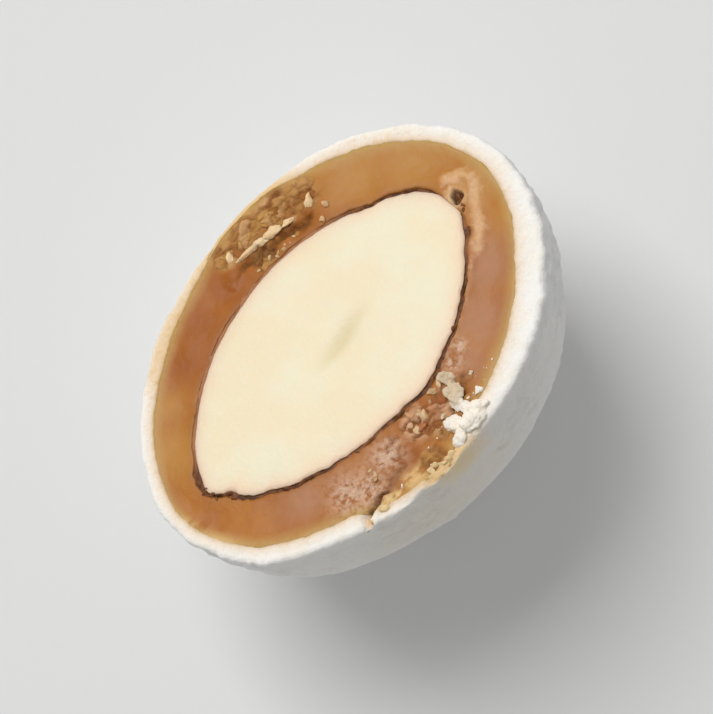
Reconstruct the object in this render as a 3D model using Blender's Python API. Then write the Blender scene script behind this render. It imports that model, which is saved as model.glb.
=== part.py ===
"""Half of a toffee almond: an almond in its brown skin, a thick layer of toffee round it, and a white
sugar coat outside, cut across. It sits cut face up on a small flat spot, leaning back towards +Y.

Every layer is a cup that runs the whole way round the food, from its edge in the cut face down to the
rounded end. The layers are drawn in the frame of the cut face: X along the long way of the face, Y
across it and up its slope, Z straight out of it, with the food below Z = 0.
"""

import math
import random

import bmesh
import bpy
from mathutils import Vector, noise

MM = 0.001

# Driving sizes of the whole half
FACE_HALF_LENGTH = 11.55 * MM
FACE_HALF_WIDTH = 8.58 * MM
BODY_DEPTH = 13.26 * MM
FACE_TILT = math.radians(28.0)
FOOT_DEPTH = 0.5 * MM

# How the hand-made rim strays from an ellipse: waves round it, their size as a share, and their phase
RIM_WAVES = ((3, 0.015, 0.0), (4, 0.0065, math.radians(-90.0)), (5, -0.004, 0.9))
FULL_RIM_ANGLE = math.radians(55.0)
FULL_RIM_SPREAD = 32.0
FULL_RIM_SHARE = 0.032

# Layers, from the outside in
COAT_THICKNESS = 1.0 * MM
COAT_AT_END = 1.1 * MM
TOFFEE_AT_END = 2.1 * MM
SKIN_THICKNESS = 0.3 * MM
LAYER_GAP = 0.25 * MM

# How the coat's thickness varies: its mean share, then waves round the rim as above
COAT_MEAN = 0.93
COAT_WAVES = (
    (1, 0.28, math.radians(-135.0)),
    (2, 0.12, math.radians(78.0)),
    (3, 0.04, math.radians(-90.0)),
    (4, -0.12, 0.0),
)

# Two places where the coat broke thin at the face, and how deep its edge chipped there
HIGH_CHIP_ANGLE = math.radians(76.0)
HIGH_CHIP_THINNING = 0.52
HIGH_CHIP_DEPTH = 0.5 * MM
LOW_CHIP_ANGLE = math.radians(263.0)
LOW_CHIP_THINNING = 0.33
LOW_CHIP_DEPTH = 0.25 * MM
THINNING_SPREAD = 15.0
THINNING_REACH = math.radians(14.0)
CHIP_SPREAD = 12.0

# The kernel's cut outline: two bowed sides that meet in a point at each end
KERNEL_HALF_LENGTH = 8.75 * MM
KERNEL_HALF_WIDTH = 5.0 * MM
KERNEL_OFFSET = 0.5 * MM
LOW_SIDE_FULLNESS = 0.66
HIGH_SIDE_FULLNESS = 0.78
FLAT_SIDE_ANGLE = math.radians(72.0)
FLAT_SIDE_SPREAD = 22.0
FLAT_SIDE_SHARE = 0.055
ALMOND_TAPER = 1.15

# Relief
LUMP_HEIGHT = 0.13 * MM
LUMP_SIZE = 3.6 * MM
GRIT_HEIGHT = 0.05 * MM
GRIT_SIZE = 1.3 * MM
EDGE_GRAIN_HEIGHT = 0.04 * MM
EDGE_GRAIN_SIZE = 0.9 * MM
TOFFEE_WAVE = 0.16 * MM
TOFFEE_WAVE_SIZE = 2.4 * MM
TOFFEE_WAVE_AT_EDGES = 0.35
TOFFEE_HOLLOW = 0.12 * MM
CRUMB_SEED = 7
KERNEL_DOME = 0.14 * MM
CREASE_DEPTH = 0.2 * MM
CREASE_WIDTH_SHARE = 0.07
CREASE_HALF_LENGTH = 2.4 * MM
CREASE_MIDDLE = (-0.1 * MM, 0.15 * MM)

# Counts of points: round the coat and toffee, and round the skin and kernel
AROUND_OUTSIDE = 84
AROUND_ALMOND = 60


def clear_scene():
    for old in list(bpy.data.objects):
        bpy.data.objects.remove(old)


def food_material(name, colour, roughness):
    material = bpy.data.materials.new(name)
    material.use_nodes = True
    surface = material.node_tree.nodes["Principled BSDF"]
    surface.inputs["Base Color"].default_value = (*colour, 1.0)
    surface.inputs["Roughness"].default_value = roughness
    surface.inputs["Metallic"].default_value = 0.0
    return material


def solid_from_rings(name, start, rings, end, material, parent):
    """A closed skin through the rings, each the same number of points, closed by a point at both ends."""
    shell = bmesh.new()
    loops = [[shell.verts.new(point) for point in ring] for ring in rings]
    count = len(loops[0])
    for first, second in zip(loops, loops[1:]):
        for i in range(count):
            j = (i + 1) % count
            shell.faces.new((first[i], first[j], second[j], second[i]))
    for tip, loop in ((shell.verts.new(start), loops[0]), (shell.verts.new(end), loops[-1])):
        for i in range(count):
            shell.faces.new((tip, loop[i], loop[(i + 1) % count]))
    bmesh.ops.recalc_face_normals(shell, faces=shell.faces)
    mesh = bpy.data.meshes.new(name)
    shell.to_mesh(mesh)
    shell.free()
    mesh.shade_smooth()
    mesh.set_sharp_from_angle(angle=math.radians(40.0))
    mesh.materials.append(material)
    solid = bpy.data.objects.new(name, mesh)
    bpy.context.scene.collection.objects.link(solid)
    solid.parent = parent
    return solid


def angles(count):
    return [2.0 * math.pi * i / count for i in range(count)]


def spaced(low, high, count):
    """Evenly spaced values from low to high, both included."""
    return [low + (high - low) * i / (count - 1) for i in range(count)]


def near(angle, middle, spread):
    """1 at the middle angle, falling smoothly to 0 on both sides of it."""
    away = math.remainder(angle - middle, 2.0 * math.pi) / math.radians(spread)
    return math.exp(-(away**4))


def waves_at(angle, waves):
    """The sum of waves round the rim at an angle. Each has its count, size and phase."""
    return sum(size * math.cos(count * angle + phase) for count, size, phase in waves)


def rim_factor(angle):
    """How far the hand-made outline strays from a true ellipse."""
    fuller = FULL_RIM_SHARE * near(angle, FULL_RIM_ANGLE, FULL_RIM_SPREAD)
    return 1.0 + waves_at(angle, RIM_WAVES) + fuller


def coat_thickness(angle, turn):
    """The coat is thick at the far left and thin opposite, and breaks thinner still at two chips."""
    thinned = HIGH_CHIP_THINNING * near(angle, HIGH_CHIP_ANGLE, THINNING_SPREAD)
    thinned += LOW_CHIP_THINNING * near(angle, LOW_CHIP_ANGLE, THINNING_SPREAD)
    thinned *= math.exp(-((turn / THINNING_REACH) ** 2))
    return COAT_THICKNESS * (COAT_MEAN + waves_at(angle, COAT_WAVES) - thinned)


def egg_point(angle, turn, inset, end_inset):
    """A point of the half egg, inset from its surface. turn is 0 at the cut face and 90 degrees at the end."""
    factor = 1.0 + (rim_factor(angle) - 1.0) * math.cos(turn)
    across = math.cos(turn) * factor
    return Vector(
        (
            (FACE_HALF_LENGTH - inset) * math.cos(angle) * across,
            (FACE_HALF_WIDTH - inset) * math.sin(angle) * across,
            -(BODY_DEPTH - end_inset) * math.sin(turn),
        )
    )


def almond_point(angle, turn, grow):
    """A point of the half almond, grown outwards from the kernel. Its section narrows to the same two points."""
    fullness = HIGH_SIDE_FULLNESS if math.sin(angle) > 0.0 else LOW_SIDE_FULLNESS
    bow = math.copysign(abs(math.sin(angle)) ** (2.0 * fullness), math.sin(angle))
    bow *= 1.0 - FLAT_SIDE_SHARE * near(angle, FLAT_SIDE_ANGLE, FLAT_SIDE_SPREAD)
    across = math.cos(turn) ** ALMOND_TAPER
    kernel_depth = BODY_DEPTH - COAT_AT_END - TOFFEE_AT_END - SKIN_THICKNESS - 3.0 * LAYER_GAP
    return Vector(
        (
            KERNEL_OFFSET * math.cos(turn) + (KERNEL_HALF_LENGTH + grow) * math.cos(angle) * across,
            (KERNEL_HALF_WIDTH + grow) * bow * across,
            -(kernel_depth + grow) * math.sin(turn),
        )
    )


def lumps(point):
    """Low swellings and finer grit of a coat that was built up in layers of syrup and sugar."""
    return (
        LUMP_HEIGHT * noise.noise(point / LUMP_SIZE)
        + GRIT_HEIGHT * noise.noise(point / GRIT_SIZE + Vector((7.0, 3.0, 1.0)))
    )


def rim_chip(angle):
    """How deep the coat's edge broke away: the large chip at the far side, and a small one opposite."""
    high = HIGH_CHIP_DEPTH * near(angle, HIGH_CHIP_ANGLE, CHIP_SPREAD)
    low = LOW_CHIP_DEPTH * near(angle, LOW_CHIP_ANGLE, CHIP_SPREAD)
    return high + low


def make_coat(parent):
    """White sugar coat: a cup with a lumpy outside and a chipped edge."""
    white = food_material("white_sugar", (0.86, 0.86, 0.84), 0.9)
    ring_angles = angles(AROUND_OUTSIDE)
    end = math.pi / 2.0

    def outer(angle, turn):
        point = egg_point(angle, turn, 0.0, 0.0)
        outward = Vector(
            (
                point.x / FACE_HALF_LENGTH**2,
                point.y / FACE_HALF_WIDTH**2,
                point.z / BODY_DEPTH**2,
            )
        ).normalized()
        return point + outward * lumps(point)

    def inner(angle, turn):
        return egg_point(angle, turn, coat_thickness(angle, turn), COAT_AT_END)

    def edge(angle, share):
        """Across the cut edge, from the inside at share 0 to the outside at share 1."""
        point = inner(angle, 0.0).lerp(outer(angle, 0.0), share)
        point.z = -rim_chip(angle) * share + EDGE_GRAIN_HEIGHT * noise.noise(point / EDGE_GRAIN_SIZE)
        return point

    inner_turns = spaced(math.radians(80.0), math.radians(9.0), 8)
    outer_turns = spaced(math.radians(7.0), math.radians(84.0), 16)
    rings = [[inner(a, turn) for a in ring_angles] for turn in inner_turns]
    rings += [[edge(a, share) for a in ring_angles] for share in (0.0, 0.55, 1.0)]
    rings += [[outer(a, turn) for a in ring_angles] for turn in outer_turns]
    tips = Vector((0.0, 0.0, -(BODY_DEPTH - COAT_AT_END))), outer(0.0, end)
    return solid_from_rings("coat", tips[0], rings, tips[1], white, parent)


def toffee_crumbs():
    """Places, sizes and heights of the crumbs that the knife left on the toffee, in three patches."""
    draw = random.Random(CRUMB_SEED)
    patches = (
        # angle round the face, spread, share of the way out, how many, tallest
        (math.radians(258.0), math.radians(16.0), 0.6, 13, 0.5 * MM),
        (math.radians(99.0), math.radians(8.0), 0.5, 8, 0.55 * MM),
        (math.radians(76.0), math.radians(11.0), 0.45, 7, 0.35 * MM),
    )
    crumbs = []
    for middle, spread, share, count, tallest in patches:
        for _ in range(count):
            angle = middle + draw.uniform(-spread, spread)
            out = share + draw.uniform(-0.3, 0.3)
            size = draw.uniform(0.3, 0.55) * MM
            height = tallest * draw.uniform(0.45, 1.0)
            crumbs.append((angle, out, size, height))
    return crumbs


def make_toffee(parent):
    """Toffee: a thick cup between the coat and the almond, its cut face dragged into waves and crumbs."""
    caramel = food_material("toffee", (0.42, 0.19, 0.06), 0.35)
    ring_angles = angles(AROUND_OUTSIDE)
    almond_grow = SKIN_THICKNESS + 2.0 * LAYER_GAP

    def outer(angle, turn):
        return egg_point(angle, turn, coat_thickness(angle, turn) + LAYER_GAP, COAT_AT_END + LAYER_GAP)

    def inner(angle, turn):
        return almond_point(angle, turn, almond_grow)

    def face_place(angle, share):
        return inner(angle, 0.0).lerp(outer(angle, 0.0), share)

    crumbs = [(face_place(a, out), size, height) for a, out, size, height in toffee_crumbs()]

    def face(angle, share):
        point = face_place(angle, share)
        middle = math.sin(math.pi * share)
        wave = TOFFEE_WAVE * noise.noise(point / TOFFEE_WAVE_SIZE) * (TOFFEE_WAVE_AT_EDGES + middle)
        crumb = max(
            height * math.exp(-(((point - place).length / size) ** 2)) for place, size, height in crumbs
        )
        point.z = wave - TOFFEE_HOLLOW * middle + crumb
        return point

    inner_turns = spaced(math.radians(78.0), math.radians(10.0), 6)
    outer_turns = spaced(math.radians(8.0), math.radians(82.0), 8)
    rings = [[inner(a, turn) for a in ring_angles] for turn in inner_turns]
    rings += [[face(a, share) for a in ring_angles] for share in spaced(0.0, 1.0, 8)]
    rings += [[outer(a, turn) for a in ring_angles] for turn in outer_turns]
    tips = inner(0.0, math.pi / 2.0), outer(0.0, math.pi / 2.0)
    return solid_from_rings("toffee", tips[0], rings, tips[1], caramel, parent)


def make_skin(parent):
    """The almond's thin brown skin, which shows as a dark line round the kernel."""
    brown = food_material("almond_skin", (0.13, 0.045, 0.015), 0.6)
    ring_angles = angles(AROUND_ALMOND)

    def inner(angle, turn):
        return almond_point(angle, turn, LAYER_GAP)

    def outer(angle, turn):
        return almond_point(angle, turn, LAYER_GAP + SKIN_THICKNESS)

    turns = spaced(math.radians(78.0), 0.0, 7)
    rings = [[inner(a, turn) for a in ring_angles] for turn in turns]
    rings += [[outer(a, turn) for a in ring_angles] for turn in reversed(turns)]
    tips = inner(0.0, math.pi / 2.0), outer(0.0, math.pi / 2.0)
    return solid_from_rings("skin", tips[0], rings, tips[1], brown, parent)


def make_kernel(parent):
    """The cream-coloured kernel, cut flat, with a slit at the seam of its two seed leaves."""
    cream = food_material("almond_kernel", (0.88, 0.8, 0.6), 0.5)
    ring_angles = angles(AROUND_ALMOND)
    slit_middle = Vector((*CREASE_MIDDLE, 0.0))

    def face(angle, share):
        """From the bottom of the slit at share 0 out to the kernel's edge at share 1."""
        slit = slit_middle + Vector((CREASE_HALF_LENGTH * math.cos(angle), 0.0, 0.0))
        point = slit.lerp(almond_point(angle, 0.0, 0.0), share)
        crease = CREASE_DEPTH * math.exp(-((share / CREASE_WIDTH_SHARE) ** 2))
        point.z = KERNEL_DOME * (1.0 - share**4) - crease
        return point

    face_shares = (0.035, 0.07, 0.13, 0.25, 0.45, 0.66, 0.84, 0.95)
    turns = spaced(0.0, math.radians(80.0), 8)
    rings = [[face(a, share) for a in ring_angles] for share in face_shares]
    rings += [[almond_point(a, turn, 0.0) for a in ring_angles] for turn in turns]
    slit_bottom = slit_middle + Vector((0.0, 0.0, KERNEL_DOME - CREASE_DEPTH))
    end = almond_point(0.0, math.pi / 2.0, 0.0)
    return solid_from_rings("kernel", slit_bottom, rings, end, cream, parent)


def lowest_point():
    """The point of the tilted egg that would touch a table, in the frame of the cut face, and its depth."""
    down_face, out_face = -math.sin(FACE_TILT), -math.cos(FACE_TILT)
    reach = math.hypot(FACE_HALF_WIDTH * down_face, BODY_DEPTH * out_face)
    return Vector((0.0, FACE_HALF_WIDTH**2 * down_face, BODY_DEPTH**2 * out_face)) / reach, reach


def make_face_frame():
    """An empty at the middle of the cut face, placed so that the flat spot lies at the origin."""
    frame = bpy.data.objects.new("face_frame", None)
    bpy.context.scene.collection.objects.link(frame)
    touch, reach = lowest_point()
    frame.rotation_euler = (FACE_TILT, 0.0, 0.0)
    frame.location = (
        0.0,
        -(touch.y * math.cos(FACE_TILT) - touch.z * math.sin(FACE_TILT)),
        reach - FOOT_DEPTH,
    )
    return frame


def cut_flat_foot(coat):
    """Takes off what would reach below the table, which leaves the flat spot that the half rests on."""
    size = 4.0 * FACE_HALF_LENGTH
    block = bmesh.new()
    bmesh.ops.create_cube(block, size=size)
    mesh = bpy.data.meshes.new("table_block")
    block.to_mesh(mesh)
    block.free()
    cutter = bpy.data.objects.new("table_block", mesh)
    cutter.location.z = -size / 2.0
    cutter.hide_render = True
    cutter.display_type = "WIRE"
    bpy.context.scene.collection.objects.link(cutter)
    cut = coat.modifiers.new("flat_foot", "BOOLEAN")
    cut.operation = "DIFFERENCE"
    cut.object = cutter


clear_scene()
face_frame = make_face_frame()
cut_flat_foot(make_coat(face_frame))
make_toffee(face_frame)
make_skin(face_frame)
make_kernel(face_frame)
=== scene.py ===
import math
import random

import bmesh
import bpy
import numpy as np
from mathutils import Euler, Matrix, Vector, noise
from mathutils.bvhtree import BVHTree


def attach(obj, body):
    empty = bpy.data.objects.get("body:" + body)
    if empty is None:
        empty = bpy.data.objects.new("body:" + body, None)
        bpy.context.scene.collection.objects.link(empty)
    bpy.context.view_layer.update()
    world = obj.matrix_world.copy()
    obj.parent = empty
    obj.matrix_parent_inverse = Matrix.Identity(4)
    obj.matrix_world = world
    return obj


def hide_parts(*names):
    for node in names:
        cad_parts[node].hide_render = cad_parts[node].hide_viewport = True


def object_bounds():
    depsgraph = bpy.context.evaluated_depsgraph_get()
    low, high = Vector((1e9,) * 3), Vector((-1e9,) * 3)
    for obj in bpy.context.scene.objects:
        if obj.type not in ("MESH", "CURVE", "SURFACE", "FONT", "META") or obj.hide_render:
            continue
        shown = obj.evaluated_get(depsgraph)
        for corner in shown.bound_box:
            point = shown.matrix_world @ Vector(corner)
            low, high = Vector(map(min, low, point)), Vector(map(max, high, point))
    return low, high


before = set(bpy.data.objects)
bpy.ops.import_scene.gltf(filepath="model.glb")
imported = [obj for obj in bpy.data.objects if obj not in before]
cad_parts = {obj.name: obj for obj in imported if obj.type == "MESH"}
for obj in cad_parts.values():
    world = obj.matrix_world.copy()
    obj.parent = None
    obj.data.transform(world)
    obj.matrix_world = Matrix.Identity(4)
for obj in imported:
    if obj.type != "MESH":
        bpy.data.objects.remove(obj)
cad_low, cad_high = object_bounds()


# Sugar coat
# A dry white shell of sugar and starch, built up in a turning pan, layer on layer, over the toffee.
# The knife left a clean rim round the cut face. It chipped at the far right, and thins out opposite.

MM = 0.001
FACE_HALF_LENGTH = 11.55
FACE_HALF_WIDTH = 8.58
BODY_DEPTH = 13.26
FACE_TILT = math.radians(28.0)
FOOT_DEPTH = 0.5
COAT_THICKNESS = 1.0
COAT_AT_END = 1.1
CORNER_ROUND = 0.26
AROUND = 540
COAT_INSIDE_RINGS, COAT_EDGE_RINGS, COAT_OUTSIDE_RINGS = 16, 25, 142

# How the hand-made rim strays from an ellipse: waves round it, their size as a share, and their phase
RIM_WAVES = ((3, 0.015, 0.0), (4, 0.0065, math.radians(-90.0)), (5, -0.004, 0.9))
FULL_RIM = ((55.0, 32.0, 0.032),)

# How the coat's thickness varies: its mean share, and waves round the rim as above
COAT_MEAN = 0.93
COAT_WAVES = (
    (1, 0.28, math.radians(-135.0)),
    (2, 0.12, math.radians(78.0)),
    (3, 0.04, math.radians(-90.0)),
    (4, -0.12, 0.0),
)

# Places along the rim: angle, spread on both sides of it in degrees, and how much is gone or stained there
HIGH_CHIP, LOW_CHIP = 76.0, 263.0
THINNED_PLACES = ((HIGH_CHIP, 15.0, 0.52), (LOW_CHIP, 15.0, 0.33))
THINNING_REACH = math.radians(14.0)
SUNK_PLACES = ((HIGH_CHIP, 13.0, 0.1), (LOW_CHIP, 15.0, 0.2))
STAINED_PLACES = ((LOW_CHIP, 18.0, 0.85), (299.0, 17.0, 0.6), (222.0, 20.0, 0.26))
SPILL_PLACE = ((84.0, 8.0, 1.0),)
SPILL_DEPTH = 0.096
CRACK = ((6.35, 8.1), (5.75, 7.5), (5.5, 7.15), (4.75, 7.0), (4.3, 6.9), (3.9, 6.95))
CRACK_DEPTH = 0.5

# Lumps and grit that the solid has too, then finer hills: height, width, octaves, place in the noise
LUMP_HEIGHT, LUMP_SIZE = 0.13, 3.6
GRIT_HEIGHT, GRIT_SIZE, GRIT_SHIFT = 0.05, 1.3, (7.0, 3.0, 1.0)
OUTSIDE_GRAIN = ((0.1, 0.8, 3, 2.0), (0.04, 0.36, 2, 43.0))
RIM_GRAIN = ((0.025, 0.4, 3, 8.0), (0.035, 1.6, 1, 3.0))
CHIP_GRAIN = ((0.06, 0.6, 3, 13.0),)
SPILL_GRAIN = ((0.144, 0.45, 3, 31.0),)
SMALL_CHIPS, SMALL_CHIP_START = ((0.4, 1.1, 3, 0.0),), 0.08
INNER_EDGE_WAVES = ((0.06, 1.6, 3, 5.0), (0.03, 0.35, 2, 6.0))

# Round bumps and dents of the outside: height, spacing, share of the spots that have one, place in the noise
ROUGH_SPOTS = ((0.1, 0.85, 0.4, 11.0), (-0.12, 0.9, 0.4, 4.0))
WIDE_DENTS = ((-0.1, 2.3, 0.5, 0.0),)

# A golden stain on the outside, and a painted warm shade on the body below the chip: the middle of each and
# how far it reaches, along, across and into the food
GOLDEN_STAIN = ((0.6, 8.6, -0.6), (1.8, 1.1, 1.4))
WARM_SHADE_SIDE = ((3.0, 8.0, -4.0), (6.0, 3.0, 4.5))

# Coat colours. The hollow colours are painted shade for the powder's hollows.
SUGAR_WHITE, SUGAR_CREAM, HOLLOW_SHADE = (0.9, 0.9, 0.885), (0.91, 0.9, 0.875), (0.79, 0.79, 0.775)
# Painted shade for the coat's dips, and a painted warm shade for the body below the chip.
DIP_SHADE, WARM_SHADE_TAN = (0.7, 0.695, 0.67), (0.8, 0.67, 0.46)
CUT_CREAM, CUT_WHITE, CUT_HOLLOW_SHADE = (0.965, 0.91, 0.825), (0.965, 0.945, 0.895), (0.83, 0.76, 0.66)
CUT_PEACH, CUT_BROWN = (0.92, 0.77, 0.62), (0.66, 0.43, 0.2)
SPILL_ON_OUTSIDE, SPILL_ON_CUT = (0.95, 0.75, 0.46), (0.79, 0.52, 0.22)


def face_placement():
    """The cut face's own frame: X along it, Y up its slope and Z out of it, in the middle of the face."""
    down, out = -math.sin(FACE_TILT), -math.cos(FACE_TILT)
    reach = math.hypot(FACE_HALF_WIDTH * down, BODY_DEPTH * out)
    touch_y = FACE_HALF_WIDTH**2 * down / reach
    touch_z = BODY_DEPTH**2 * out / reach
    middle = Vector((0.0, touch_z * math.sin(FACE_TILT) - touch_y * math.cos(FACE_TILT), reach - FOOT_DEPTH))
    return Matrix.Translation(middle * MM) @ Matrix.Rotation(FACE_TILT, 4, "X")


FACE = face_placement()
angles = np.arange(AROUND) * (2.0 * math.pi / AROUND)


def in_place(points):
    """Points in millimetres of the cut face's frame, as places in metres in the part's frame."""
    turn = np.array(FACE.to_3x3())
    return points * MM @ turn.T + np.array(FACE.translation)


def hills(points, size, octaves=1, shift=0.0):
    """Smooth random heights from about -1 to 1 at each point, with hills about as wide as size."""
    offset = Vector((shift, 0.6 * shift, -0.3 * shift))
    flat = points.reshape(-1, 3) / size
    if octaves == 1:
        heights = [noise.noise(Vector(p) + offset) for p in flat]
    else:
        heights = [noise.fractal(Vector(p) + offset, 1.0, 2.0, octaves) for p in flat]
    return np.array(heights).reshape(points.shape[:-1])


def pits(points, spacing, share, shift=0.0):
    """Round hollows, 0 outside them and 1 in their middles. share is the part of the spots that have one."""
    offset = Vector((shift, -shift, 0.5 * shift))
    depths = []
    for p in points.reshape(-1, 3) / spacing:
        distances, centres = noise.voronoi(Vector(p) + offset)
        chosen = noise.cell(centres[0] * 7.3) * 0.5 + 0.5 < share
        depths.append(max(0.0, 1.0 - (distances[0] / 0.32) ** 2) ** 2 if chosen else 0.0)
    return np.array(depths).reshape(points.shape[:-1])


def ramped(values, low, high):
    """0 below low and 1 above high, smooth between."""
    share = np.clip((values - low) / (high - low), 0.0, 1.0)
    return share * share * (3.0 - 2.0 * share)


def near(angle, middle, spread):
    """1 at the middle angle, falling smoothly to 0 on both sides of it."""
    away = (angle - middle + math.pi) % (2.0 * math.pi) - math.pi
    return np.exp(-((away / math.radians(spread)) ** 4))


def beside(points, path, width):
    """1 on a path of (x, y) points over the face, falling to 0 about a width away from it."""
    nearest = np.full(points.shape[:-1], np.inf)
    for start, end in zip(path, path[1:]):
        along = np.subtract(end, start)
        away = points[..., :2] - start
        share = np.clip(away @ along / (along @ along), 0.0, 1.0)
        nearest = np.minimum(nearest, np.linalg.norm(away - share[..., None] * along, axis=-1))
    return np.exp(-((nearest / width) ** 2))


def waves_at(angle, waves):
    return sum(size * np.cos(count * angle + phase) for count, size, phase in waves)


def bulges(angle, places):
    """The sum of the bulges along the rim, each with its angle and spread in degrees and its height."""
    return sum(height * near(angle, math.radians(middle), spread) for middle, spread, height in places)


def relief_of(points, layers):
    """The sum of layers of hills, each with its height, width, octaves and place in the noise."""
    return sum(height * hills(points, size, octaves, shift) for height, size, octaves, shift in layers)


def stained(points, middle, reach):
    """1 in the middle of a stain, falling to 0 around it."""
    return np.exp(-(np.linalg.norm((points - middle) / reach, axis=-1) ** 2))


def rim_factor(angle):
    return 1.0 + waves_at(angle, RIM_WAVES) + bulges(angle, FULL_RIM)


def coat_thickness(angle, turn):
    thinned = bulges(angle, THINNED_PLACES) * np.exp(-((turn / THINNING_REACH) ** 2))
    return COAT_THICKNESS * (COAT_MEAN + waves_at(angle, COAT_WAVES) - thinned)


def egg(angle, turn, inset=0.0, end_inset=0.0):
    """Points of the half egg in millimetres. turn is 0 at the cut face and 90 degrees at the end."""
    angle, turn = np.broadcast_arrays(angle, turn)
    across = np.cos(turn) * (1.0 + (rim_factor(angle) - 1.0) * np.cos(turn))
    x = (FACE_HALF_LENGTH - inset) * np.cos(angle) * across
    y = (FACE_HALF_WIDTH - inset) * np.sin(angle) * across
    z = -(BODY_DEPTH - end_inset) * np.sin(turn)
    return np.stack([x, y, z], axis=-1)


def egg_outward(points):
    slope = points / np.array([FACE_HALF_LENGTH**2, FACE_HALF_WIDTH**2, BODY_DEPTH**2])
    return slope / np.linalg.norm(slope, axis=-1, keepdims=True)


def piece_of(name, points, faces, masks, material):
    """A smooth piece through points of the face's frame, with masks painted on them."""
    mesh = bpy.data.meshes.new(name)
    mesh.from_pydata(in_place(points).tolist(), [], faces)
    for mask, values in masks.items():
        layer = mesh.attributes.new(mask, "FLOAT", "POINT")
        layer.data.foreach_set("value", values.astype(np.float32))
    mesh.shade_smooth()
    mesh.materials.append(material)
    piece = bpy.data.objects.new(name, mesh)
    bpy.context.scene.collection.objects.link(piece)
    return piece


def closed_cup(name, rings, first_tip, last_tip, material, masks):
    """
    A closed skin through rings of points, with a point at both ends, and masks painted on its points.
    Without a first tip, the first ring is a narrow slit, which is zipped shut across.
    """
    ring_count, count = rings.shape[:2]
    tips = [last_tip] if first_tip is None else [last_tip, first_tip]
    index = np.arange(ring_count * count).reshape(ring_count, count)
    following = np.roll(index, -1, axis=1)
    faces = np.stack([index[:-1], following[:-1], following[1:], index[1:]], axis=-1).reshape(-1, 4).tolist()
    last = ring_count * count
    faces += [(last, int(a), int(b)) for a, b in zip(index[-1], following[-1])]
    if first_tip is None:
        faces += [(0, count - 1, 1), (count // 2, count // 2 - 1, count // 2 + 1)]
        faces += [(k, count - k, count - k - 1, k + 1) for k in range(1, count // 2 - 1)]
    else:
        faces += [(last + 1, int(b), int(a)) for a, b in zip(index[0], following[0])]
    for mask, values in masks.items():
        masks[mask] = np.concatenate([values.ravel(), [values.flat[-1], values.flat[0]][: len(tips)]])
    cup = piece_of(name, np.concatenate([rings.reshape(-1, 3), tips]), faces, masks, material)
    turned = bmesh.new()
    turned.from_mesh(cup.data)
    bmesh.ops.recalc_face_normals(turned, faces=turned.faces)
    turned.to_mesh(cup.data)
    turned.free()
    return cup


def shader_node(tree, kind, inputs=None, **settings):
    """Adds a node. Each input takes a value, a colour, or another node's output, which is linked to it."""
    made = tree.nodes.new(kind)
    for key, value in settings.items():
        setattr(made, key, value)
    for key, value in (inputs or {}).items():
        socket = made.inputs[key]
        if isinstance(value, bpy.types.NodeSocket):
            tree.links.new(value, socket)
        else:
            socket.default_value = (*value, 1.0) if socket.type == "RGBA" else value
    return made


def masked(tree, mask, under, over):
    """The colour under, with over laid on it where the mask is 1."""
    return shader_node(tree, "ShaderNodeMix", {0: mask, 6: under, 7: over}, data_type="RGBA").outputs[2]


def times(tree, first, second, clamp=True):
    made = shader_node(tree, "ShaderNodeMath", {0: first, 1: second}, operation="MULTIPLY", use_clamp=clamp)
    return made.outputs[0]


def plus(tree, first, second):
    return shader_node(tree, "ShaderNodeMath", {0: first, 1: second}, operation="ADD").outputs[0]


def ramp(tree, value, low, high):
    """0 below low and 1 above high, smooth between."""
    inputs = {"Value": value, "From Min": low, "From Max": high}
    return shader_node(tree, "ShaderNodeMapRange", inputs, interpolation_type="SMOOTHSTEP").outputs[0]


def painted(tree, mask):
    return shader_node(tree, "ShaderNodeAttribute", attribute_name=mask).outputs["Fac"]


def place_in_mm(tree):
    """The point's place in the part's frame, in millimetres."""
    place = shader_node(tree, "ShaderNodeTexCoord").outputs["Object"]
    inputs = {0: place, "Scale": 1.0 / MM}
    return shader_node(tree, "ShaderNodeVectorMath", inputs, operation="SCALE").outputs[0]


def noise_at(tree, place, size, detail=2.0, roughness=0.5):
    inputs = {"Vector": place, "Scale": 1.0 / size, "Detail": detail, "Roughness": roughness}
    return shader_node(tree, "ShaderNodeTexNoise", inputs).outputs["Fac"]


def powder_group():
    """Sugar powder: packed fine grains, with softer clumps, and a painted shade that darkens the hollows."""
    group = bpy.data.node_groups.new("Sugar powder", "ShaderNodeTree")
    for name in ("Grain Size", "Clump Size", "Clump Share"):
        group.interface.new_socket(name=name, in_out="INPUT", socket_type="NodeSocketFloat")
    for name in ("Height", "Hollow Shade"):
        group.interface.new_socket(name=name, in_out="OUTPUT", socket_type="NodeSocketFloat")
    given = group.nodes.new("NodeGroupInput").outputs
    out = group.nodes.new("NodeGroupOutput").inputs
    place = place_in_mm(group)
    grain = noise_at(group, place, 1.0, 3.0, 0.65)
    clump = noise_at(group, place, 1.0, 2.0, 0.55)
    for size, made in (("Grain Size", grain), ("Clump Size", clump)):
        scale = shader_node(group, "ShaderNodeMath", {0: 1.0, 1: given[size]}, operation="DIVIDE")
        group.links.new(scale.outputs[0], made.node.inputs["Scale"])
    fine = times(group, grain, 0.5, clamp=False)
    group.links.new(plus(group, fine, times(group, clump, given["Clump Share"], clamp=False)), out["Height"])
    # Painted shade: darkest where both the grains and the clumps lie low.
    hollow_shade = times(group, ramp(group, grain, 0.5, 0.28), ramp(group, clump, 0.62, 0.3))
    group.links.new(hollow_shade, out["Hollow Shade"])
    return group


POWDER = powder_group()


def food_surface(name, roughness, gloss=0.5):
    """A new material with its Principled shader, plain so far."""
    material = bpy.data.materials.new(name)
    material.use_nodes = True
    surface = material.node_tree.nodes["Principled BSDF"]
    surface.inputs["Roughness"].default_value = roughness
    surface.inputs["Metallic"].default_value = 0.0
    surface.inputs["Specular IOR Level"].default_value = gloss
    return material, material.node_tree, surface


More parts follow.
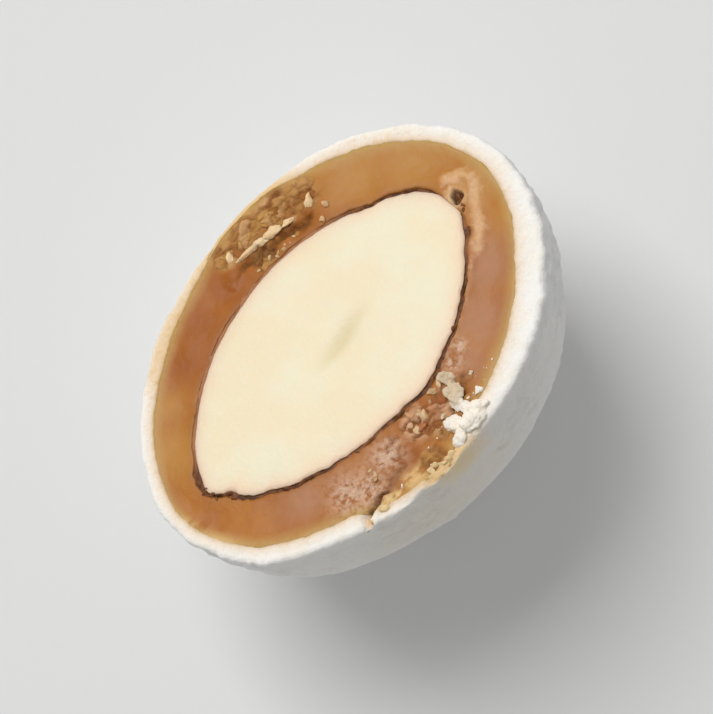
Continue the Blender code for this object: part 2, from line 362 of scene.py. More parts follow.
def let_light_in(surface, weight, tints, depth):
    """Light passes under the surface, to a depth in millimetres, red further than blue."""
    surface.inputs["Subsurface Weight"].default_value = weight
    surface.inputs["Subsurface Radius"].default_value = tints
    surface.inputs["Subsurface Scale"].default_value = depth * MM


def sugar_surface(name):
    """Dry packed sugar: matt, and lit a little from within."""
    material, tree, surface = food_surface(name, 0.9, 0.25)
    let_light_in(surface, 0.2, (1.0, 0.88, 0.72), 0.45)
    return material, tree, surface


def layered(tree, colour, layers):
    """The colour with others laid over it in turn, each where its mask is 1."""
    for mask, over in layers:
        colour = masked(tree, mask, colour, over)
    return colour


def above_middle(tree, value, amount):
    """How far a noise stands above its middle, times an amount, and 0 below it."""
    return times(tree, plus(tree, value, -0.5), amount)


def powder_at(tree, grain, clump, share):
    """The height of sugar powder and the painted shade of its hollows, with grains and clumps of a size in
    millimetres.
    """
    inputs = {"Grain Size": grain, "Clump Size": clump, "Clump Share": share}
    powder = shader_node(tree, "ShaderNodeGroup", inputs, node_tree=POWDER)
    return powder.outputs["Height"], powder.outputs["Hollow Shade"]


def dress(tree, surface, colour, height, distance):
    """Gives the surface its colour, and bumps with a height of up to a distance in millimetres."""
    tree.links.new(colour, surface.inputs["Base Color"])
    bump = shader_node(tree, "ShaderNodeBump", {"Height": height, "Distance": distance * MM, "Strength": 1.0})
    tree.links.new(bump.outputs["Normal"], surface.inputs["Normal"])


def coat_material():
    material, tree, surface = sugar_surface("sugar_coat")
    height, hollow_shade = powder_at(tree, 0.15, 0.8, 0.6)
    place = place_in_mm(tree)
    wobble = noise_at(tree, place, 0.4, 4.0, 0.65)
    by_toffee = plus(tree, painted(tree, "inner"), above_middle(tree, wobble, 0.9))
    soaked = plus(tree, painted(tree, "stain"), above_middle(tree, wobble, 0.8))
    # Outside: random cream patches, painted shade in the powder's hollows and dips, and a painted warm shade
    # low on the body below the chip.
    outside = (
        (ramp(tree, noise_at(tree, place, 4.0), 0.3, 0.7), SUGAR_CREAM),
        (hollow_shade, HOLLOW_SHADE),
        (times(tree, painted(tree, "dip_shade"), 0.22), DIP_SHADE),
        (times(tree, painted(tree, "warm_shade"), 0.38), WARM_SHADE_TAN),
    )
    # Cut rim: whiter patches, painted shade in the hollows, then peach and brown by the toffee.
    rim = (
        (ramp(tree, noise_at(tree, place, 1.6), 0.3, 0.7), CUT_WHITE),
        (times(tree, hollow_shade, 0.6), CUT_HOLLOW_SHADE),
        (ramp(tree, by_toffee, 0.05, 0.7), CUT_PEACH),
        (ramp(tree, by_toffee, 0.5, 1.2), CUT_BROWN),
    )
    spilled = masked(tree, painted(tree, "cut"), SPILL_ON_OUTSIDE, SPILL_ON_CUT)
    whole = (
        (painted(tree, "cut"), layered(tree, CUT_CREAM, rim)),
        (times(tree, ramp(tree, soaked, 0.1, 0.9), 0.85), spilled),
    )
    dress(tree, surface, layered(tree, layered(tree, SUGAR_WHITE, outside), whole), height, 0.12)
    return material


def coat_outside(start):
    """The rounded outside from the rim to near the end, and a painted shade for its dips, strongest where it
    is rough.
    """
    steps = np.linspace(0.0, 1.0, COAT_OUTSIDE_RINGS)[:, None] ** 1.15
    body = egg(angles, start + (math.radians(87.0) - start) * steps)
    rough = 0.25 + 0.75 * ramped(hills(body, 4.5, 2, 41.0), -0.2, 0.25)
    lift = LUMP_HEIGHT * hills(body, LUMP_SIZE)
    lift += GRIT_HEIGHT * hills(body + np.array(GRIT_SHIFT) * GRIT_SIZE, GRIT_SIZE)
    lift += rough * relief_of(body, OUTSIDE_GRAIN)
    lift += rough * sum(height * pits(body, *spots_at) for height, *spots_at in ROUGH_SPOTS)
    lift += sum(height * pits(body, *spots_at) for height, *spots_at in WIDE_DENTS)
    # Painted shade: how deep each point lies in a dip of the finer grain, where the outside is rough.
    dimple_shade = rough * ramped(-hills(body, *OUTSIDE_GRAIN[0][1:]), 0.0, 0.5)
    return body + egg_outward(body) * lift[..., None], dimple_shade


def make_coat():
    outline = egg(angles, 0.0)
    high_chip = near(angles, math.radians(HIGH_CHIP), 13.0)
    sunk = bulges(angles, SUNK_PLACES)
    small_chips = np.clip(relief_of(outline, SMALL_CHIPS) - SMALL_CHIP_START, 0.0, None)
    corner_round = CORNER_ROUND * (1.0 - 0.6 * high_chip)

    inner_turns = np.radians(np.linspace(80.0, 2.0, COAT_INSIDE_RINGS))[:, None]
    inner = egg(angles, inner_turns, coat_thickness(angles, inner_turns), COAT_AT_END)
    inner_edge = egg(angles, 0.0, coat_thickness(angles, 0.0) + relief_of(outline, INNER_EDGE_WAVES))
    outer, dimple_shade = coat_outside(np.arcsin((small_chips + sunk + corner_round) / BODY_DEPTH))

    shares = np.linspace(0.0, 1.0, COAT_EDGE_RINGS)[:, None]
    edge = inner_edge + (outer[0] - inner_edge) * shares[..., None]
    width = np.linalg.norm(outer[0] - inner_edge, axis=-1)
    to_outside = np.clip(1.0 - (1.0 - shares) * width / (1.3 * corner_round), 0.0, 1.0)
    corner = 1.0 - np.sqrt(1.0 - np.minimum(to_outside, 0.999) ** 2)
    edge[..., 2] = -corner_round * corner - small_chips * to_outside**1.5
    edge[..., 2] -= sunk * shares**0.6
    edge[..., 2] += relief_of(edge, RIM_GRAIN) * (1.0 - corner)
    edge[..., 2] += high_chip * relief_of(edge, CHIP_GRAIN) * (1.0 - corner)
    spill = bulges(angles, SPILL_PLACE)
    notch = beside(edge, CRACK, 0.13)
    edge[..., 2] -= CRACK_DEPTH * notch + spill * (SPILL_DEPTH + relief_of(edge, SPILL_GRAIN))
    edge[..., 2] -= 0.05 * np.exp(-shares / 0.05)

    rings = np.concatenate([inner, edge[:-1], outer])
    under_floor = np.minimum(in_place(rings)[..., 2] / MM, 0.0)
    rings -= under_floor[..., None] * np.array(FACE.to_3x3().inverted() @ Vector((0.0, 0.0, 1.0)))

    inside, on_edge = slice(0, len(inner)), slice(len(inner), len(inner) + len(edge) - 1)
    masks = {name: np.zeros(rings.shape[:2]) for name in ("cut", "inner", "dip_shade")}
    masks["cut"][inside] = 1.0
    masks["cut"][on_edge] = 1.0 - 0.7 * to_outside[:-1] ** 2
    masks["inner"][inside] = 1.0
    from_toffee = np.linalg.norm(edge - inner_edge, axis=-1)[:-1]
    masks["inner"][on_edge] = np.maximum(np.exp(-from_toffee / 0.4), notch[:-1])
    # Painted shade in the outside's dips.
    masks["dip_shade"][-len(dimple_shade) :] = dimple_shade
    # Painted warm shade on the body below the chip.
    masks["warm_shade"] = stained(rings, *WARM_SHADE_SIDE)
    stain = 0.8 * stained(rings, *GOLDEN_STAIN)
    stain[on_edge] = np.maximum(stain[on_edge], 0.95 * spill)
    thin_side = bulges(angles, STAINED_PLACES) * np.exp(-((rings[..., 2] / 0.5) ** 2))
    masks["stain"] = np.maximum(stain, thin_side)
    tips = np.array([0.0, 0.0, -(BODY_DEPTH - COAT_AT_END)]), egg(0.0, math.pi / 2.0)
    return closed_cup("sugar_coat", rings, *tips, coat_material(), masks)


sugar_coat = make_coat()
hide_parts("coat")
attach(sugar_coat, "root")


# Toffee
# Boiled sugar and butter, poured round the almond while hot and set hard but a little sticky.
# The knife left its cut face smooth, but crumbled it by the coat's thin side and by its chip.

TOFFEE_AT_END = 2.1
SKIN_THICKNESS = 0.3
LAYER_GAP = 0.25
KERNEL_HALF_LENGTH = 8.75
KERNEL_HALF_WIDTH = 5.0
KERNEL_OFFSET = 0.5
LOW_SIDE_FULLNESS, HIGH_SIDE_FULLNESS = 0.66, 0.78
FLAT_SIDE = ((72.0, 22.0, 0.055),)
ALMOND_TAPER = 1.15
TIP_REACH, TIP_ROUND = 8.18, 0.12
TOFFEE_RINGS, FACE_RINGS = 14, 54

# The nut's cut edge: where the knife left its dark skin bare, and how the edge strays from an even shape
BARE_MIDDLE, BARE_REACH, BARE_FADE = math.radians(114.0), math.radians(138.0), math.radians(26.0)
NEAR_CORNER, NEAR_NOTCH, FAR_SPECK = 346.0, 20.0, 153.5
KERNEL_WAVES = ((0.05, 1.5, 2, 60.0),)
TORN_WAVES = ((0.12, 1.0, 2, 62.0), (0.04, 0.35, 2, 61.0))
KERNEL_BULGES = ((206.0, 15.0, 0.17), (31.0, 6.0, 0.12), (NEAR_NOTCH, 3.5, -0.16))
LINE_WAVES = ((0.06, 1.3, 3, 11.0), (0.05, 0.3, 2, 12.0))
LINE_BULGES = (
    (NEAR_CORNER, 7.0, 0.16),
    (NEAR_NOTCH, 4.0, 0.12),
    (FAR_SPECK, 2.5, 0.14),
    (180.0, 17.0, -0.12),
    (101.0, 6.0, 0.06),
    (71.0, 9.0, -0.07),
)

# The three rough patches that the solid has too: middle angle and spread, place across the toffee,
# how many bumps, and the tallest
CRUMB_SEED = 7
ROUGH_PATCHES = (
    (math.radians(258.0), math.radians(16.0), 0.6, 13, 0.5),
    (math.radians(99.0), math.radians(8.0), 0.5, 8, 0.55),
    (math.radians(76.0), math.radians(11.0), 0.45, 7, 0.35),
)

# Places on the cut face: x, y and radius of each spot, and the points of each line
CRUMBLED_SPOTS = (
    (-2.6, -6.9, 1.1), (-4.0, -6.4, 0.9), (-0.9, -7.3, 1.0), (0.6, -7.4, 0.7), (-0.6, -5.8, 0.7),
    (-1.2, 6.6, 1.0), (0.6, 6.0, 0.9), (1.4, 7.8, 0.7), (-0.2, 7.0, 0.8), (2.2, 5.7, 0.5),
)
REDDISH_SPOTS = ((0.6, 5.9, 1.0), (-0.5, 6.2, 0.8), (-1.4, 5.5, 0.6), (2.2, 5.6, 0.8))
FROSTED_SPOTS = ((5.2, 5.7, 0.9), (4.4, 6.3, 0.9), (2.7, 5.9, 0.8), (-2.6, 5.3, 0.5), (-3.3, 5.0, 0.4))
CHIPPED_SPOTS = ((2.2, 7.5, 0.9), (3.5, 7.5, 0.6), (4.6, 7.4, 0.4), (1.0, 7.7, 0.7))
# Painted pink sheen, where the toffee's gloss catches the light
SHEEN_SPOTS = (
    (-7.2, 3.6, 1.6), (-5.0, 5.2, 1.8), (-3.0, 6.0, 1.3),
    (3.4, 6.0, 1.3), (5.0, 5.3, 1.4), (6.8, 4.2, 1.2),
)
AMBER_SPOTS = (
    (-8.6, -3.2, 2.2), (-6.4, -4.9, 1.8), (-9.9, 0.2, 1.5),
    (9.4, -2.9, 1.7), (-9.3, 2.6, 1.0), (7.6, -4.6, 1.0),
)
DEEP_SPOTS = ((3.6, -6.0, 1.5), (1.6, -6.2, 1.5), (5.6, -5.3, 1.3), (0.8, 6.1, 0.8), (1.9, 6.8, 0.7))
DARK_HOLES = ((-3.3, -7.6, 0.2), (-2.35, 6.2, 0.18), (-0.9, 6.9, 0.18))
TIP_PIT, TIP_CREAM = ((-8.55, -0.1, 0.36),), ((-8.45, -0.15, 0.7),)
TIP_BURR = ((-8.8, -1.15), (-9.5, -0.7), (-9.6, 0.0), (-8.9, 0.75), (-8.05, 1.9), (-7.3, 2.4))
SIDE_BURR = ((-7.2, 2.35), (-5.2, 3.6), (-3.6, 4.5))
DARK_FURROW = ((0.3, -6.3), (-0.8, -6.05), (-1.7, -5.75), (-2.5, -5.5), (-3.2, -5.3))
CRACK_END = ((3.9, 6.95), (3.2, 6.95), (2.5, 6.75))
SUGARED_EDGE = ((5.6, 7.3), (4.2, 7.5), (2.9, 7.55), (1.6, 7.75))
SUGARED_END = ((10.0, 13.0, 1.0),)

# Relief of the cut face, in layers of hills: height, width, octaves, place in the noise
TOFFEE_WAVE, TOFFEE_WAVE_SIZE, TOFFEE_HOLLOW = 0.16, 2.4, 0.07
FINE_WAVES = (0.02, 0.7, 3, 14.0)
CRUMBLED_GRAIN, FROSTED_GRAIN = (0.1, 0.3, 3, 9.0), (0.05, 0.25, 2, 10.0)
BURR_GRAIN, SUGARED_GRAIN, FURROW_GRAIN = (0.08, 0.6, 3, 15.0), (0.12, 0.5, 3, 20.0), (-0.24, 0.5, 3, 19.0)
BLOCK_SIZE, BLOCK_HEIGHT, FROST_SIZE, FROST_HEIGHT = 0.55, 0.15, 0.3, 0.1
BLOCK_NUDGES = (0.0, 17.3, 31.9)

# Toffee colours. The pink sheen is a painted highlight, and the deep shadow is painted shade.
TOFFEE_BROWN, TOFFEE_LIGHT = (0.4, 0.13, 0.016), (0.47, 0.175, 0.026)
AMBER, DEEP_BROWN, PINK_SHEEN = (0.5, 0.23, 0.045), (0.35, 0.1, 0.01), (0.44, 0.2, 0.095)
GOLDEN_EDGE, SOAKED_SUGAR, BY_THE_SKIN = (0.53, 0.32, 0.1), (0.78, 0.52, 0.22), (0.27, 0.1, 0.03)
BLOCK_DARK, BLOCK_LIGHT, BLOCK_PALE = (0.35, 0.135, 0.03), (0.5, 0.25, 0.07), (0.68, 0.4, 0.19)
# Reddish blocks, their paler ones pink as a painted highlight, and painted shade for the gaps between blocks
BLOCK_RED, BLOCK_PINK_HIGHLIGHT, BLOCK_GAP_SHADE = (0.37, 0.125, 0.04), (0.66, 0.38, 0.24), (0.22, 0.075, 0.02)
FROST, SMEAR_TAN, SMEAR_CREAM = (0.82, 0.58, 0.43), (0.78, 0.5, 0.27), (0.87, 0.65, 0.42)
DEEP_SHADOW = (0.13, 0.05, 0.015)


def almond(angle, turn, grow):
    """Points of the half almond in millimetres, grown outwards from the kernel."""
    angle, turn, grow = np.broadcast_arrays(angle, turn, grow)
    fullness = np.where(np.sin(angle) > 0.0, HIGH_SIDE_FULLNESS, LOW_SIDE_FULLNESS)
    bow = np.sign(np.sin(angle)) * np.abs(np.sin(angle)) ** (2.0 * fullness)
    bow = bow * (1.0 - bulges(angle, FLAT_SIDE))
    across = np.cos(turn) ** ALMOND_TAPER
    depth = BODY_DEPTH - COAT_AT_END - TOFFEE_AT_END - SKIN_THICKNESS - 3.0 * LAYER_GAP
    x = KERNEL_OFFSET * np.cos(turn) + (KERNEL_HALF_LENGTH + grow) * np.cos(angle) * across
    y = (KERNEL_HALF_WIDTH + grow) * bow * across
    return np.stack([x, y, -(depth + grow) * np.sin(turn)], axis=-1)


def spots(points, places):
    """1 in the middle of each place (x, y, radius), falling to 0 around it."""
    found = np.zeros(points.shape[:-1])
    for x, y, radius in places:
        distance = np.hypot(points[..., 0] - x, points[..., 1] - y)
        found = np.maximum(found, np.exp(-((distance / radius) ** 2)))
    return found


def clods(points, size, shift):
    """Toffee broken to blocks about as wide as size: their heights, each block's own tone, and the gaps."""
    offset = Vector((shift, -0.7 * shift, 0.4 * shift))
    heights, tones, gaps = [], [], []
    for p in points.reshape(-1, 3) / size:
        nudge = Vector([noise.noise(Vector(p) * 2.0 + Vector((along, 0.0, 0.0))) for along in BLOCK_NUDGES])
        distances, centres = noise.voronoi(Vector(p) + offset + 0.25 * nudge)
        block = centres[0] * 5.7
        tone = 0.5 + 0.5 * noise.cell(block)
        slope = noise.cell_vector(block) - Vector((0.5, 0.5, 0.5))
        gap = math.exp(-(((distances[1] - distances[0]) / 0.16) ** 2))
        heights.append(0.9 * tone - 0.5 + 1.1 * slope.dot(Vector(p) + offset - centres[0]) - 0.7 * gap)
        tones.append(tone)
        gaps.append(gap)
    shape = points.shape[:-1]
    return [np.array(values).reshape(shape) for values in (heights, tones, gaps)]


def crumb_bumps():
    """Place, size and height of each bump in the rough patches."""
    draw = random.Random(CRUMB_SEED)
    found = []
    for middle, spread, share, count, tallest in ROUGH_PATCHES:
        for _ in range(count):
            angle = middle + draw.uniform(-spread, spread)
            out = share + draw.uniform(-0.3, 0.3)
            size = draw.uniform(0.3, 0.55)
            height = tallest * draw.uniform(0.45, 1.0)
            inner = almond(angle, 0.0, SKIN_THICKNESS + 2.0 * LAYER_GAP)
            outer = egg(angle, 0.0, coat_thickness(angle, 0.0) + LAYER_GAP)
            found.append((inner + (outer - inner) * out, size, height))
    return found


def skin_shown(angle):
    """1 where the knife left the skin's dark line bare, and low on the near side, where toffee covers it."""
    away = np.abs((angle - BARE_MIDDLE + math.pi) % (2.0 * math.pi) - math.pi)
    return 0.2 + 0.8 * ramped(BARE_REACH - away, 0.0, BARE_FADE)


def kernel_edge():
    """How far the kernel's cut edge stands off its even shape, along all angles."""
    outline, shown = almond(angles, 0.0, 0.0), skin_shown(angles)
    waves = relief_of(outline, KERNEL_WAVES) + ramped(shown, 0.3, 0.8) * relief_of(outline, TORN_WAVES)
    return 0.08 + waves + bulges(angles, KERNEL_BULGES) + 0.1 * (1.0 - shown)


def toffee_edge(shown):
    """How far the toffee's inner edge stands off the kernel, along all angles."""
    line_width = 0.07 + 0.14 * shown + relief_of(egg(angles, 0.0), LINE_WAVES) + bulges(angles, LINE_BULGES)
    return kernel_edge() + line_width


def blunted(points, reach):
    """Points with their far tip cut off round at a reach."""
    tip = TIP_ROUND * np.logaddexp(0.0, (points[..., :1] + reach) / TIP_ROUND) - reach
    return np.concatenate([tip, points[..., 1:]], axis=-1)


def toffee_surface(name):
    """Set toffee: waxy, a little see-through."""
    material, tree, surface = food_surface(name, 0.4, 0.22)
    let_light_in(surface, 0.25, (1.0, 0.42, 0.15), 0.7)
    return material, tree, surface


def drawn_out(tree, place, share):
    """Places squeezed along X by a share, so that a noise makes streaks that way."""
    inputs = {0: place, 1: (share, 1.0, 1.0)}
    return shader_node(tree, "ShaderNodeVectorMath", inputs, operation="MULTIPLY").outputs[0]


def toffee_material():
    material, tree, surface = toffee_surface("toffee")
    place = place_in_mm(tree)
    fine = noise_at(tree, place, 0.3, 4.0, 0.6)
    streaks = ramp(tree, noise_at(tree, drawn_out(tree, place, 0.5), 0.5, 3.0), 0.4, 0.6)
    tone = plus(tree, painted(tree, "tone"), above_middle(tree, fine, 0.8))
    # The reddish blocks: red of their own, with the paler ones pink as a painted highlight.
    reddish = masked(tree, ramp(tree, tone, 0.2, 0.9), BLOCK_RED, BLOCK_PINK_HIGHLIGHT)
    block = layered(tree, BLOCK_DARK, (
        (ramp(tree, tone, 0.1, 0.8), BLOCK_LIGHT),
        (ramp(tree, tone, 0.75, 1.2), BLOCK_PALE),
        (painted(tree, "red"), reddish),
        # Painted shade in the gaps between the blocks.
        (times(tree, painted(tree, "gap"), 0.5), BLOCK_GAP_SHADE),
    ))
    frosted = times(tree, painted(tree, "frosted"), ramp(tree, fine, 0.36, 0.58))
    smear = ramp(tree, plus(tree, painted(tree, "smear"), above_middle(tree, fine, 1.4)), 0.25, 1.25)
    # Over the toffee's own colours lie a painted pink sheen, and painted shadow in the furrow, holes, crack
    # and pit.
    colour = layered(tree, TOFFEE_BROWN, (
        (ramp(tree, noise_at(tree, place, 1.7, 3.0), 0.3, 0.7), TOFFEE_LIGHT),
        (painted(tree, "amber"), AMBER),
        (painted(tree, "deep"), DEEP_BROWN),
        (times(tree, painted(tree, "sheen"), 0.85), PINK_SHEEN),
        (times(tree, painted(tree, "golden"), plus(tree, 0.55, fine)), GOLDEN_EDGE),
        (times(tree, painted(tree, "sugared"), streaks), SOAKED_SUGAR),
        (times(tree, painted(tree, "inner"), 0.6), BY_THE_SKIN),
        (ramp(tree, painted(tree, "crumbly"), 0.15, 0.6), block),
        (times(tree, frosted, 0.8), FROST),
        (times(tree, smear, 0.85), SMEAR_TAN),
        (ramp(tree, painted(tree, "smear"), 0.9, 1.3), SMEAR_CREAM),
        (painted(tree, "shadow"), DEEP_SHADOW),
    ))
    coarse = plus(tree, painted(tree, "crumbly"), painted(tree, "frosted"))
    coarse = plus(tree, coarse, painted(tree, "shadow"))
    dull = plus(tree, 0.36, times(tree, plus(tree, coarse, times(tree, fine, 0.3)), 0.35))
    tree.links.new(dull, surface.inputs["Roughness"])
    grains = times(tree, noise_at(tree, place, 0.13, 3.0, 0.6), plus(tree, 0.16, coarse))
    dress(tree, surface, colour, plus(tree, grains, times(tree, fine, plus(tree, 0.12, coarse))), 0.08)
    return material


def make_toffee():
    shown = skin_shown(angles)
    outer_turns = np.radians(np.linspace(3.0, 82.0, TOFFEE_RINGS))[:, None]
    inner_turns = np.radians(np.linspace(78.0, 4.0, TOFFEE_RINGS))[:, None]
    outer = egg(angles, outer_turns, coat_thickness(angles, outer_turns) + 0.02, COAT_AT_END + 0.02)
    inner = almond(angles, inner_turns, SKIN_THICKNESS + 0.5 * LAYER_GAP)
    inner_edge = blunted(almond(angles, 0.0, toffee_edge(shown)), TIP_REACH - 0.08)
    outer_edge = egg(angles, 0.0, np.maximum(coat_thickness(angles, 0.0) - 0.1, 0.3))

    shares = np.linspace(0.0, 1.0, FACE_RINGS)[:, None]
    face = inner_edge + (outer_edge - inner_edge) * shares[..., None]
    jagged = face + 0.12 * hills(face, 0.4, 2, 17.0)[..., None]
    crumbly, frosted = spots(face, CRUMBLED_SPOTS), spots(face, FROSTED_SPOTS)
    chipped = spots(face, CHIPPED_SPOTS)
    bumps, ragged = np.zeros(face.shape[:2]), 1.1 + 0.6 * hills(face, 0.6, 3, 33.0)
    for spot, size, height in crumb_bumps():
        distance = np.linalg.norm((face - spot)[..., :2], axis=-1) * ragged
        bumps = np.maximum(bumps, height * np.exp(-((distance / size) ** 4)))
    crack = np.maximum(beside(jagged, CRACK, 0.1), 0.35 * beside(jagged, CRACK_END, 0.17))
    furrow = beside(jagged + 0.2 * hills(face, 0.9, 3, 18.0)[..., None], DARK_FURROW, 0.28)
    pit = ramped(spots(jagged, TIP_PIT), 0.3, 0.75)
    burr = 0.9 * np.maximum(beside(jagged, TIP_BURR, 0.4), 0.6 * beside(face, SIDE_BURR, 0.28))
    burr = np.maximum(burr, 1.2 * spots(jagged, TIP_CREAM))
    sugared = beside(jagged, SUGARED_EDGE, 0.4)

    def raise_where(mask, level, *layers):
        face[..., 2] += mask * (level + relief_of(face, layers))

    middle = np.sin(math.pi * shares)
    face[..., 2] = TOFFEE_WAVE * hills(face, TOFFEE_WAVE_SIZE) * (0.3 + 0.7 * middle) - TOFFEE_HOLLOW * middle
    raise_where(1.0, 0.4 * bumps, FINE_WAVES)
    # The gaps between blocks are sunk, and painted with shade further on.
    block_height, block_tone, block_gap_shade = clods(face, BLOCK_SIZE, 9.0)
    raise_where(ramped(crumbly, 0.2, 0.7), BLOCK_HEIGHT * block_height, CRUMBLED_GRAIN)
    raise_where(frosted, FROST_HEIGHT * clods(face, FROST_SIZE, 4.0)[0], FROSTED_GRAIN)
    raise_where(burr, 0.07, BURR_GRAIN)
    raise_where(sugared, 0.05, SUGARED_GRAIN)
    face[..., 2] -= 0.35 * crack + 0.45 * pit + 0.2 * chipped
    raise_where(furrow, -0.24, FURROW_GRAIN)
    face[..., 2] -= (0.02 + 0.05 * shown) * np.exp(-shares / 0.03)
    face[..., 2] -= 0.04 * np.clip((shares - 0.93) / 0.07, 0.0, 1.0)
    rings = np.concatenate([inner, face, outer])

    share = np.ones(rings.shape[:2])
    share[: len(inner)] = 0.0
    share[len(inner) : len(inner) + len(face)] = shares
    shadow = np.maximum(0.7 * furrow, 0.6 * spots(face, DARK_HOLES))
    on_face = {
        "amber": spots(face, AMBER_SPOTS),
        "deep": spots(face, DEEP_SPOTS),
        "sheen": spots(face, SHEEN_SPOTS),
        "sugared": sugared,
        "crumbly": crumbly,
        "red": spots(face, REDDISH_SPOTS),
        "tone": block_tone,
        "gap": block_gap_shade,
        "frosted": frosted,
        "smear": burr,
        "shadow": np.maximum(shadow, np.maximum(crack, pit)),
    }
    masks = {name: np.zeros(rings.shape[:2]) for name in on_face}
    for name, values in on_face.items():
        masks[name][len(inner) : len(inner) + len(face)] = values
    masks["sugared"] = np.maximum(masks["sugared"], share**6 * bulges(angles, SUGARED_END))
    masks["golden"] = np.clip((share - 0.72) / 0.28, 0.0, 1.0) ** 1.2
    masks["inner"] = np.exp(-share / 0.06)
    tips = almond(0.0, math.pi / 2.0, SKIN_THICKNESS), egg(0.0, math.pi / 2.0, 0.0, COAT_AT_END + 0.02)
    return closed_cup("toffee_layer", rings, *tips, toffee_material(), masks)


toffee_layer = make_toffee()
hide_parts("toffee")
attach(toffee_layer, "root")


# Almond skin
# The nut's own papery brown skin, left on when it was roasted. Cut across, it shows as a dark line
# round the kernel, torn and ragged on the far side and drawn under the toffee on the near side.

SKIN_RINGS = 14
LINE_SHARES = (0.0, 0.1, 0.25, 0.4, 0.55, 0.7, 0.85, 1.0)
FILM_PLACES = ((159.0, 16.0, 0.6), (71.0, 10.0, 0.5))
FILM_HOLES = ((NEAR_CORNER, 8.0, 1.0), (FAR_SPECK, 3.0, 1.0))
SKIN_DARK, SKIN_LIGHT, TOFFEE_FILM = (0.075, 0.025, 0.008), (0.23, 0.085, 0.026), (0.41, 0.18, 0.075)


def skin_material():
    material, tree, surface = food_surface("almond_skin", 0.6, 0.25)
    mottled = noise_at(tree, place_in_mm(tree), 0.4, 4.0, 0.6)
    colour = masked(tree, ramp(tree, mottled, 0.35, 0.7), SKIN_DARK, SKIN_LIGHT)
    dress(tree, surface, masked(tree, painted(tree, "toffee_film"), colour, TOFFEE_FILM), mottled, 0.05)
    return material


def make_skin():
    outline, shown = almond(angles, 0.0, 0.0), skin_shown(angles)
    ragged = hills(outline, 0.7, 3, 21.0)
    turns = np.radians(np.linspace(78.0, 3.0, SKIN_RINGS))[:, None]
    inner = almond(angles, turns, 0.03)
    outer = almond(angles, turns[::-1], SKIN_THICKNESS + 0.5 * LAYER_GAP)
    inner_edge = blunted(almond(angles, 0.0, kernel_edge() - 0.06), TIP_REACH)
    outer_edge = almond(angles, 0.0, toffee_edge(shown) + 0.1)
    shares = np.array(LINE_SHARES)[:, None]
    face = inner_edge + (outer_edge - inner_edge) * shares[..., None]
    torn_lip = np.clip(ragged - 0.05, 0.0, None) * shown * 0.4
    face[..., 2] = -0.03 - 0.12 * shown + torn_lip * np.sin(math.pi * np.clip(shares * 1.3, 0.0, 1.0))
    face[..., 2] += 0.03 * hills(face, 0.3, 2, 50.0) - 0.3 * near(angles, math.pi, 14.0)
    rings = np.concatenate([inner, face, outer])
    film = (1.0 - shown) * (1.05 + 0.6 * ragged) + bulges(angles, FILM_PLACES)
    film = np.clip(film, 0.0, 1.0) * (1.0 - bulges(angles, FILM_HOLES))
    masks = {"toffee_film": np.broadcast_to(film, rings.shape[:2])}
    tips = almond(0.0, math.pi / 2.0, 0.03), almond(0.0, math.pi / 2.0, SKIN_THICKNESS)
    return closed_cup("skin_line", rings, *tips, skin_material(), masks)


skin_line = make_skin()
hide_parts("skin")
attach(skin_line, "root")


# Kernel
# The cream flesh of the nut, cut smooth and a little waxy with its own oil.
# Its two seed leaves part in a short slit in the middle.

KERNEL_DOME = 0.14
CREASE_HALF_LENGTH = 2.4
CREASE_MIDDLE = np.array([-0.1, 0.15, 0.0])
KERNEL_SIDE_RINGS = 16
KERNEL_SHARES = (*np.linspace(0.008, 0.2, 14), *np.linspace(0.225, 0.96, 46), 0.975, 0.985, 0.993, 1.0)
FLESH_CREAM, FLESH_PALE, FLESH_GRAIN = (0.885, 0.765, 0.53), (0.87, 0.805, 0.595), (0.92, 0.85, 0.68)
FLESH_EDGE, CREASE_SHADE = (0.94, 0.66, 0.46), (0.74, 0.62, 0.34)


def kernel_material():
    material, tree, surface = food_surface("almond_kernel", 0.45, 0.35)
    let_light_in(surface, 0.35, (1.0, 0.75, 0.45), 0.9)
    place = place_in_mm(tree)
    clouds = noise_at(tree, place, 3.0, 3.0, 0.5)
    fine = noise_at(tree, place, 0.25, 4.0, 0.6)
    colour = layered(tree, FLESH_CREAM, (
        (ramp(tree, clouds, 0.35, 0.68), FLESH_PALE),
        (times(tree, ramp(tree, fine, 0.55, 0.75), 0.35), FLESH_GRAIN),
        (painted(tree, "rim"), FLESH_EDGE),
        (times(tree, painted(tree, "crease"), 0.75), CREASE_SHADE),
    ))
    drag = noise_at(tree, drawn_out(tree, place, 0.12), 0.16, 2.0)
    dress(tree, surface, colour, plus(tree, plus(tree, fine, clouds), times(tree, drag, 0.35)), 0.03)
    return material


